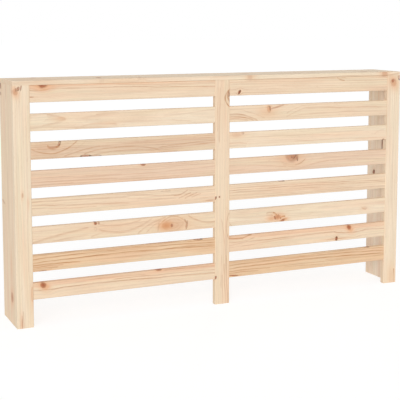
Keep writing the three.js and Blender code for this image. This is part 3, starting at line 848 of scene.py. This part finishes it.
SAME_PLACE = 1e-6           # metres within which two places of a board are one
SAME_SCREW_PLACE = 1e-7     # the same for a screw
SAME_ARRIS = 0.1 * MM       # how near an edge's middle is to the line of the arris that it is on
SAME_WAY = 0.99             # least cosine between a face's normal and the way it is meant to face
SHARP_EDGE = math.radians(32)
LARGE_FACES_FIRST = 100     # weight that makes the flat faces decide the shading at roundings
ORDER_AXIS = Vector((1.0, 0.7549, 0.5698))      # slanted, so that hardly any two places are level along it


def box_mesh(low, high):
    bm = bmesh.new()
    bmesh.ops.create_cube(bm, size=1.0)
    bmesh.ops.scale(bm, vec=high - low, verts=bm.verts)
    bmesh.ops.translate(bm, vec=(low + high) / 2, verts=bm.verts)
    return bm


def long_edges(bm, axis, low, high, chosen=None):
    """Edges along an axis on the box's four arrises, or on those whose middle is chosen."""
    others = [i for i in range(3) if i != axis]
    found = []
    for edge in bm.edges:
        start, end = (vertex.co for vertex in edge.verts)
        run = end - start
        middle = (start + end) / 2
        straight = all(abs(run[i]) < SAME_PLACE for i in others)
        outside = all(min(abs(middle[i] - low[i]), abs(middle[i] - high[i])) < SAME_PLACE for i in others)
        if straight and outside and (chosen is None or chosen(middle)):
            found.append(edge)
    return found


def ease(bm, edges, radius, segments):
    bmesh.ops.bevel(
        bm, geom=edges, offset=radius, offset_type="OFFSET", segments=segments, profile=0.5,
        affect="EDGES", material=-1, clamp_overlap=True)


def face_at(bm, point, normal):
    """The face whose middle is nearest to a point, of those that face one way."""
    facing = [face for face in bm.faces if face.normal.dot(normal) > SAME_WAY]
    return min(facing, key=lambda face: (face.calc_center_median() - point).length)


def draw_out(bm, face, way):
    """Extrudes one face by a way."""
    made = bmesh.ops.extrude_discrete_faces(bm, faces=[face])
    bmesh.ops.translate(bm, vec=way, verts=made["faces"][0].verts)


def cut_across(bm, axis, height):
    normal = Vector([1.0 if i == axis else 0.0 for i in range(3)])
    geom = [*bm.verts, *bm.edges, *bm.faces]
    bmesh.ops.bisect_plane(bm, geom=geom, dist=SAME_PLACE, plane_co=normal * height, plane_no=normal)


def put_in_order(elements, verts_of):
    """Sorts verts, edges or faces by place, because bevels and cuts order them anew at each run."""
    elements.sort(key=lambda item: math.fsum(vertex.co.dot(ORDER_AXIS) for vertex in verts_of(item)))


def finish_piece(bm, material, node):
    """Turns a bmesh into an object that stands for a node, with smooth roundings and flat faces."""
    bmesh.ops.recalc_face_normals(bm, faces=bm.faces)
    put_in_order(bm.verts, lambda vertex: [vertex])
    put_in_order(bm.edges, lambda edge: edge.verts)
    put_in_order(bm.faces, lambda face: face.verts)
    for face in bm.faces:
        face.smooth = True
    for edge in bm.edges:
        edge.smooth = edge.calc_face_angle(0.0) < SHARP_EDGE
    mesh = bpy.data.meshes.new("shown_" + node)
    bm.to_mesh(mesh)
    bm.free()
    mesh.materials.append(material)
    piece = bpy.data.objects.new("shown_" + node, mesh)
    bpy.context.scene.collection.objects.link(piece)
    even = piece.modifiers.new("even shading", "WEIGHTED_NORMAL")
    even.keep_sharp = True
    even.weight = LARGE_FACES_FIRST
    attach(piece, BODY)
    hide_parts(node)


def finish_board(node, shape, axes):
    """Shows a board's shape, a bmesh and its lowest and highest corner, in the board's own pine."""
    bm, low, high = shape
    finish_piece(bm, pine_material(node, low, high, axes), node)


def node_box(name):
    low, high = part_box(name)
    return Vector(low), Vector(high)


def cross_board(node, bay_low, bay_high):
    """A rail or slat between two posts: the eased board and its stub tenons."""
    shape = bpy.context.scene.joinery_shape
    low, high = node_box(node)
    body_low = Vector((bay_low, low.y, low.z))
    body_high = Vector((bay_high, high.y, high.z))
    bm = box_mesh(body_low, body_high)
    tenon_height = high.z - low.z - 2 * shape.tenon_shoulder
    for normal, reach in ((-X_AXIS, bay_low - low.x), (X_AXIS, high.x - bay_high)):
        middle = (body_low + body_high) / 2
        middle.x = bay_low if normal.x < 0 else bay_high
        end = face_at(bm, middle, normal)
        # Any smaller face will do: it is scaled to the tenon's size, then drawn out.
        bmesh.ops.inset_individual(bm, faces=[end], thickness=(high.y - low.y) / 4)
        inner = face_at(bm, middle, normal)
        wide = max(v.co.y for v in inner.verts) - min(v.co.y for v in inner.verts)
        tall = max(v.co.z for v in inner.verts) - min(v.co.z for v in inner.verts)
        size = Vector((1.0, shape.tenon_thickness / wide, tenon_height / tall))
        bmesh.ops.scale(bm, vec=size, space=Matrix.Translation(-middle), verts=inner.verts)
        draw_out(bm, inner, normal * reach)
    ease(bm, long_edges(bm, 0, body_low, body_high), shape.edge_round, shape.segments)
    return bm, body_low, body_high


def post(node, mortises, square_corner):
    """A post with its mortises. square_corner is the arris that its side panel carries on from."""
    shape = bpy.context.scene.joinery_shape
    low, high = node_box(node)
    bm = box_mesh(low, high)
    room = shape.clearance
    half_slot = shape.tenon_thickness / 2
    for side, rows in mortises:
        for row_low, row_high in rows:
            cut_across(bm, 2, row_low.z + shape.tenon_shoulder - room)
            cut_across(bm, 2, row_high.z - shape.tenon_shoulder + room)
        middle_y = (rows[0][0].y + rows[0][1].y) / 2
        cut_across(bm, 1, middle_y - half_slot - room)
        cut_across(bm, 1, middle_y + half_slot + room)
        face_x = low.x if side < 0 else high.x
        for row_low, row_high in rows:
            reach = (row_high.x - low.x if side < 0 else high.x - row_low.x) + room
            mouth = face_at(bm, Vector((face_x, middle_y, (row_low.z + row_high.z) / 2)), X_AXIS * side)
            draw_out(bm, mouth, X_AXIS * (-side * reach))
    bmesh.ops.remove_doubles(bm, verts=bm.verts, dist=SAME_PLACE)

    def eased(middle):
        return square_corner is None or (middle - square_corner).to_2d().length > SAME_ARRIS

    ease(bm, long_edges(bm, 2, low, high, eased), shape.edge_round, shape.segments)
    return bm, low, high


def stave(node, rear):
    """A stave of a side panel: its edges at the rear are rounded, the others are chamfered."""
    shape = bpy.context.scene.joinery_shape
    low, high = node_box(node)
    bm = box_mesh(low, high)

    def outer(middle):
        return abs(middle.y - rear) < SAME_ARRIS

    def seam(middle):
        return not outer(middle)

    ease(bm, long_edges(bm, 2, low, high, outer), shape.edge_round, shape.segments)
    ease(bm, long_edges(bm, 2, low, high, seam), shape.seam, 1)
    return bm, low, high


def top_board_mesh():
    shape = bpy.context.scene.joinery_shape
    low, high = node_box("top_board")
    bm = box_mesh(low, high)
    ease(bm, long_edges(bm, 2, low, high), shape.top_corner, shape.segments)
    for level, radius, segments in ((high.z, shape.top_round, shape.segments), (low.z, shape.seam, 1)):
        rim = [edge for edge in bm.edges if all(abs(v.co.z - level) < SAME_PLACE for v in edge.verts)]
        ease(bm, rim, radius, segments)
    return bm, low, high


# Where a wood screw changes along its length: from the top of its head, then from its tip.
HEAD_CHAMFER = 0.15 * MM
HEAD_RIM = 0.5 * MM
HEAD_END = 2.6 * MM
NECK_END = 7.0 * MM
THREAD_START = 7.6 * MM
CORE_END = 5.0 * MM
THREAD_END = 4.0 * MM
TIP_START = 1.6 * MM
TIP_SHARE = 0.45            # the core's radius where the tip starts, as a share of the full one
RECESS_TAPER = 0.6          # width of the recess at its bottom, as a share of its width on top
THREAD_ROOT = 0.9           # the thread starts inside the core, at this share of its radius
THREAD_SECTION = ((0.0, 0.0), (1.0, 0.3), (0.0, 0.6))   # height of the rib, and shares of the pitch


def thread_mesh(bm, shape, start, end):
    """Winds a screw's thread round the Z axis, as a closed three-cornered rib."""
    pitch = shape.thread_pitch
    root = shape.screw_core * THREAD_ROOT
    section = []
    for raised, share in THREAD_SECTION:
        reach = shape.screw_thread if raised else root
        section.append(bm.verts.new((reach, 0.0, start + pitch * share)))
    edges = [bm.edges.new((section[i], section[i - 1])) for i in range(3)]
    turns = int((end - start) / pitch)
    wound = bmesh.ops.spin(
        bm, geom=[*section, *edges], axis=Z_AXIS, cent=(0.0, 0.0, 0.0), angle=math.tau * turns,
        steps=turns * shape.screw_sides, dvec=Z_AXIS * pitch / shape.screw_sides)
    last = [item for item in wound["geom_last"] if isinstance(item, bmesh.types.BMEdge)]
    for rim in (edges, last):
        bmesh.ops.contextual_create(bm, geom=rim)


def cross_recess(bm, shape):
    """Sinks a tapered cross into the flat head at the bottom of a screw."""
    half_span = shape.recess_span / 2
    half_width = shape.recess_width / 2

    def on_head(face):
        return face.calc_center_median().z < SAME_SCREW_PLACE and face.normal.z < -SAME_WAY

    def in_cross(face):
        middle = face.calc_center_median()
        near, far = sorted((abs(middle.x), abs(middle.y)))
        return on_head(face) and near < half_width and far < half_span

    for axis in (X_AXIS, Y_AXIS):
        for reach in (-half_span, -half_width, half_width, half_span):
            head = [face for face in bm.faces if on_head(face)]
            geom = {item for face in head for item in (face, *face.edges, *face.verts)}
            bmesh.ops.bisect_plane(
                bm, geom=list(geom), dist=SAME_SCREW_PLACE, plane_co=axis * reach, plane_no=axis)
    slots = [face for face in bm.faces if in_cross(face)]
    sunk = bmesh.ops.extrude_face_region(bm, geom=slots)["geom"]
    verts = [item for item in sunk if isinstance(item, bmesh.types.BMVert)]
    bmesh.ops.delete(bm, geom=slots, context="FACES_ONLY")
    bmesh.ops.translate(bm, vec=Z_AXIS * shape.recess_depth, verts=verts)
    bmesh.ops.scale(bm, vec=(RECESS_TAPER, RECESS_TAPER, 1.0), verts=verts)


def screw_mesh(radius, length):
    """A countersunk wood screw that stands on its head, with its tip towards +Z."""
    shape = bpy.context.scene.joinery_shape
    core = shape.screw_core
    neck = shape.screw_thread
    profile = (
        (radius - HEAD_CHAMFER, 0.0), (radius, HEAD_CHAMFER), (radius, HEAD_RIM), (neck, HEAD_END),
        (neck, NECK_END), (core, THREAD_START), (core, length - CORE_END),
        (core * TIP_SHARE, length - TIP_START), (0.0, length),
    )
    bm = bmesh.new()
    chain = [bm.verts.new((reach, 0.0, level)) for reach, level in profile]
    edges = [bm.edges.new(pair) for pair in zip(chain, chain[1:])]
    bmesh.ops.spin(
        bm, geom=[*chain, *edges], axis=Z_AXIS, cent=(0.0, 0.0, 0.0), angle=math.tau,
        steps=shape.screw_sides, use_merge=True)
    bmesh.ops.remove_doubles(bm, verts=bm.verts, dist=SAME_SCREW_PLACE)
    bmesh.ops.contextual_create(bm, geom=[edge for edge in bm.edges if edge.is_boundary])
    bmesh.ops.recalc_face_normals(bm, faces=bm.faces)
    cross_recess(bm, shape)
    thread_mesh(bm, shape, THREAD_START, length - THREAD_END)
    mesh = bpy.data.meshes.new("wood_screw")
    bm.to_mesh(mesh)
    bm.free()
    return mesh


# ---------------------------------------------------------------- operators

SIDES = {"left": -1, "right": 1}


def rows_of(side):
    """Nodes of one bay, from the top rail down."""
    slats = sorted(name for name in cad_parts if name.startswith(f"slat_{side}_"))
    return [f"top_rail_{side}", *slats]


def bay_of(side):
    """Left and right end of the open width between two posts."""
    names = ("post_left", "post_centre") if side == "left" else ("post_centre", "post_right")
    return node_box(names[0])[1].x, node_box(names[1])[0].x


class COVER_OT_shaders(bpy.types.Operator):
    """Make the shader groups for pine, knots, board edges and zinc"""

    bl_idname = "cover.shaders"
    bl_label = "Shader groups"

    def execute(self, context):
        knot_group()
        edges_group()
        radius_group()
        dark_line_group()
        wobble_group()
        grain_group()
        brushed_group()
        return {"FINISHED"}


class COVER_OT_top_board(bpy.types.Operator):
    """Make the top board with its rounded edges"""

    bl_idname = "cover.top_board"
    bl_label = "Top board"

    def execute(self, context):
        finish_board("top_board", top_board_mesh(), FLAT)
        return {"FINISHED"}


class COVER_OT_posts(bpy.types.Operator):
    """Make the three posts with their mortises"""

    bl_idname = "cover.posts"
    bl_label = "Posts"

    def execute(self, context):
        bays_of = {
            "post_left": {"left": 1},
            "post_centre": {"left": -1, "right": 1},
            "post_right": {"right": -1},
        }
        for node, bays in bays_of.items():
            low, high = node_box(node)
            mortises = [(way, [node_box(row) for row in rows_of(side)]) for side, way in bays.items()]
            outer_x = {"post_left": low.x, "post_right": high.x}.get(node)
            corner = None if outer_x is None else Vector((outer_x, high.y, 0.0))
            finish_board(node, post(node, mortises, corner), UPRIGHT)
        return {"FINISHED"}


class COVER_OT_slats(bpy.types.Operator):
    """Make the top rails and the slats with their stub tenons"""

    bl_idname = "cover.slats"
    bl_label = "Rails and slats"

    def execute(self, context):
        for side in SIDES:
            for node in rows_of(side):
                finish_board(node, cross_board(node, *bay_of(side)), LEVEL)
        return {"FINISHED"}


class COVER_OT_side_panels(bpy.types.Operator):
    """Make the staves of the two side panels"""

    bl_idname = "cover.side_panels"
    bl_label = "Side panels"

    def execute(self, context):
        for side in SIDES:
            rear = node_box(f"side_{side}_rear_stave")[1].y
            for place in ("front", "rear"):
                node = f"side_{side}_{place}_stave"
                finish_board(node, stave(node, rear), SIDEWAYS)
        return {"FINISHED"}


class COVER_OT_cleats(bpy.types.Operator):
    """Give the inner cleats, whose CAD shapes stay in view, their pine"""

    bl_idname = "cover.cleats"
    bl_label = "Inner cleats"

    def execute(self, context):
        runs = {"corner_cleat": UPRIGHT, "side_cleat": INWARDS, "rail_cleat": LEVEL}
        for side in SIDES:
            for kind, axes in runs.items():
                node = f"{kind}_{side}"
                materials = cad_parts[node].data.materials
                materials.clear()
                materials.append(pine_material(node, *node_box(node), axes))
        return {"FINISHED"}


class COVER_OT_screws(bpy.types.Operator):
    """Make the countersunk wood screws, with thread and cross recess"""

    bl_idname = "cover.screws"
    bl_label = "Wood screws"

    def execute(self, context):
        zinc = zinc_material()
        low, high = node_box("screw_top_left_end")
        model = screw_mesh((high.x - low.x) / 2, high.z - low.z)
        for node in [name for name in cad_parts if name.startswith("screw_")]:
            low, high = node_box(node)
            kind, side = node.split("_")[1:3]
            tip = {"post": -Y_AXIS, "rail": -Y_AXIS, "top": Z_AXIS}.get(kind, X_AXIS * SIDES[side])
            reach = abs(tip.dot(high - low)) / 2
            head = (low + high) / 2 - tip * reach
            turn = Z_AXIS.rotation_difference(tip).to_matrix().to_4x4()
            bm = bmesh.new()
            bm.from_mesh(model)
            bmesh.ops.transform(bm, matrix=Matrix.Translation(head) @ turn, verts=bm.verts)
            finish_piece(bm, zinc, node)
        bpy.data.meshes.remove(model)
        return {"FINISHED"}


FLOOR_HALF = 40.0
FLOOR_CELLS = 8
FLOOR_WHITE = 1.2           # strength of the plain white that the camera sees on the floor
SENSOR_WIDTH = 36.0


def add_lamp(name, light, side, height, softness):
    """A wide, distant lamp: it lights the whole cover and the floor alike."""
    lamp = bpy.data.lights.new(name, "SUN")
    lamp.energy = light * math.pi
    lamp.angle = softness
    holder = bpy.data.objects.new(name, lamp)
    holder.rotation_euler = Euler((math.pi / 2 - height, 0.0, -side), "XYZ")
    bpy.context.scene.collection.objects.link(holder)
    return holder


def plain_ray(g):
    """1 for rays from the camera and those that mirrors and glass pass on."""
    path = g.outputs(g.node("ShaderNodeLightPath"))
    return path["Is Camera Ray"].most(path["Is Glossy Ray"]).most(path["Is Transmission Ray"])


def floor_material(stage):
    """A matt floor that takes the cover's shadow and that the camera sees almost white."""
    material = bpy.data.materials.new("studio_floor")
    material.use_nodes = True
    g = Graph(material.node_tree)
    g.tree.nodes.remove(g.tree.nodes["Principled BSDF"])
    matt = g.new("ShaderNodeBsdfDiffuse", {"Color": colour(stage.floor)})
    white = g.new("ShaderNodeEmission", {"Strength": FLOOR_WHITE})
    blend = g.new("ShaderNodeMixShader", {0: plain_ray(g) * stage.floor_glow, 1: matt, 2: white})
    g.fill(g.tree.nodes["Material Output"], {"Surface": blend})
    return material


def studio_world(stage):
    """A world that is plain white to the camera and lights the cover evenly."""
    world = bpy.data.worlds.new("studio_world")
    world.use_nodes = True
    g = Graph(world.node_tree)
    strength = plain_ray(g) * (1.0 - stage.ambient) + stage.ambient
    g.fill(g.tree.nodes["Background"], {"Color": (1.0, 1.0, 1.0, 1.0), "Strength": strength})
    bpy.context.scene.world = world


class COVER_OT_stage(bpy.types.Operator):
    """Make the floor, the lamps and the camera"""

    bl_idname = "cover.stage"
    bl_label = "Studio"

    def execute(self, context):
        scene = context.scene
        stage = scene.studio_stage
        scene.view_settings.view_transform = "Standard"

        bm = bmesh.new()
        bmesh.ops.create_grid(bm, x_segments=FLOOR_CELLS, y_segments=FLOOR_CELLS, size=FLOOR_HALF)
        mesh = bpy.data.meshes.new("studio_floor")
        bm.to_mesh(mesh)
        bm.free()
        mesh.materials.append(floor_material(stage))
        floor = bpy.data.objects.new("studio_floor", mesh)
        scene.collection.objects.link(floor)

        add_lamp("key", stage.key_light, stage.key_side, stage.key_height, stage.key_softness)
        fill = add_lamp("fill", stage.fill_light, -stage.fill_side, stage.fill_height, stage.fill_softness)
        fill.visible_glossy = False
        studio_world(stage)

        lens = bpy.data.cameras.new("camera")
        lens.sensor_width = SENSOR_WIDTH
        lens.lens = stage.camera_lens
        lens.shift_y = stage.camera_rise
        camera = bpy.data.objects.new("camera", lens)
        camera.location = stage.camera_place
        camera.rotation_euler = Euler((math.pi / 2 - stage.camera_pitch, 0.0, -stage.camera_yaw), "XYZ")
        scene.collection.objects.link(camera)
        scene.camera = camera
        return {"FINISHED"}


class COVER_PT_panel(bpy.types.Panel):
    """Lists the steps and the settings in the sidebar"""

    bl_idname = "COVER_PT_panel"
    bl_label = "Radiator cover"
    bl_space_type = "VIEW_3D"
    bl_region_type = "UI"
    bl_category = "Radiator cover"

    def draw(self, context):
        for step in STEPS:
            self.layout.operator(step.bl_idname, text=step.bl_label)
        for group in SETTINGS:
            settings = getattr(context.scene, group)
            box = self.layout.box()
            for name in settings.__annotations__:
                box.prop(settings, name)


STEPS = (
    COVER_OT_stage,
    COVER_OT_shaders,
    COVER_OT_top_board,
    COVER_OT_posts,
    COVER_OT_slats,
    COVER_OT_side_panels,
    COVER_OT_cleats,
    COVER_OT_screws,
)
SETTINGS = {"pine_finish": PineFinish, "joinery_shape": JoineryShape, "studio_stage": StudioStage}


def register():
    for name, group in SETTINGS.items():
        bpy.utils.register_class(group)
        setattr(bpy.types.Scene, name, bpy.props.PointerProperty(type=group))
    for part in (*STEPS, COVER_PT_panel):
        bpy.utils.register_class(part)


def unregister():
    for part in reversed((*STEPS, COVER_PT_panel)):
        bpy.utils.unregister_class(part)
    for name, group in SETTINGS.items():
        delattr(bpy.types.Scene, name)
        bpy.utils.unregister_class(group)


def main():
    register()
    for step in STEPS:
        group, call = step.bl_idname.split(".")
        getattr(getattr(bpy.ops, group), call)()


if __name__ == "__main__":
    main()
